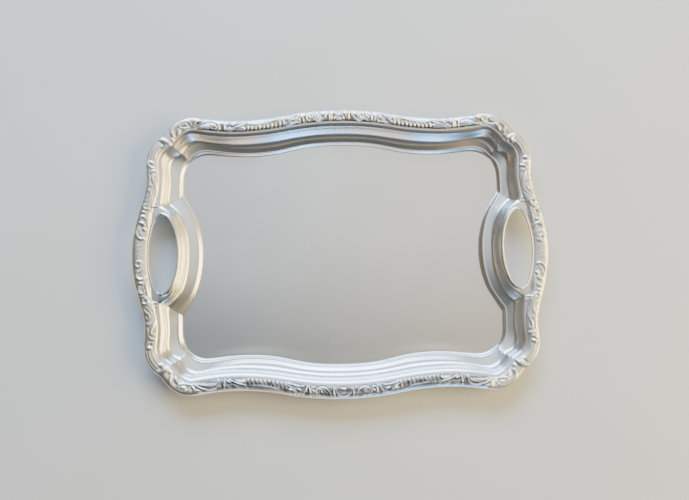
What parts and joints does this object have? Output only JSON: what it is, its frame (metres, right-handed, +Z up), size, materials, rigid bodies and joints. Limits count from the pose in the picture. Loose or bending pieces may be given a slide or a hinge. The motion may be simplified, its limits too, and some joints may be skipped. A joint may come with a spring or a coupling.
{
  "type": "serving tray",
  "caption": "Rectangular silver serving tray with a scalloped relief border, stepped cove wall, flat floor and an oval hand slot at each end.",
  "frame": {"origin": "on the resting plane, under the middle of the tray", "axes": "+X along the length towards the right handle, +Y towards the back long side, +Z up out of the open face"},
  "size_m": [0.46, 0.321, 0.0248],
  "materials": {
    "pan_silver": "satin polished silver plate with fine scratches",
    "border_silver": "polished silver plate, darkened in the recesses",
    "collar_silver": "polished silver plate"
  },
  "bodies": {
    "root": {"tray_pan": "pan_silver", "long_border_back": "border_silver", "long_border_front": "border_silver", "corner_mount_back_left": "border_silver", "corner_mount_back_right": "border_silver", "corner_mount_front_left": "border_silver", "corner_mount_front_right": "border_silver", "handle_border_left": "border_silver", "handle_border_right": "border_silver", "slot_collar_left": "collar_silver", "slot_collar_right": "collar_silver"}
  },
  "joints": []
}
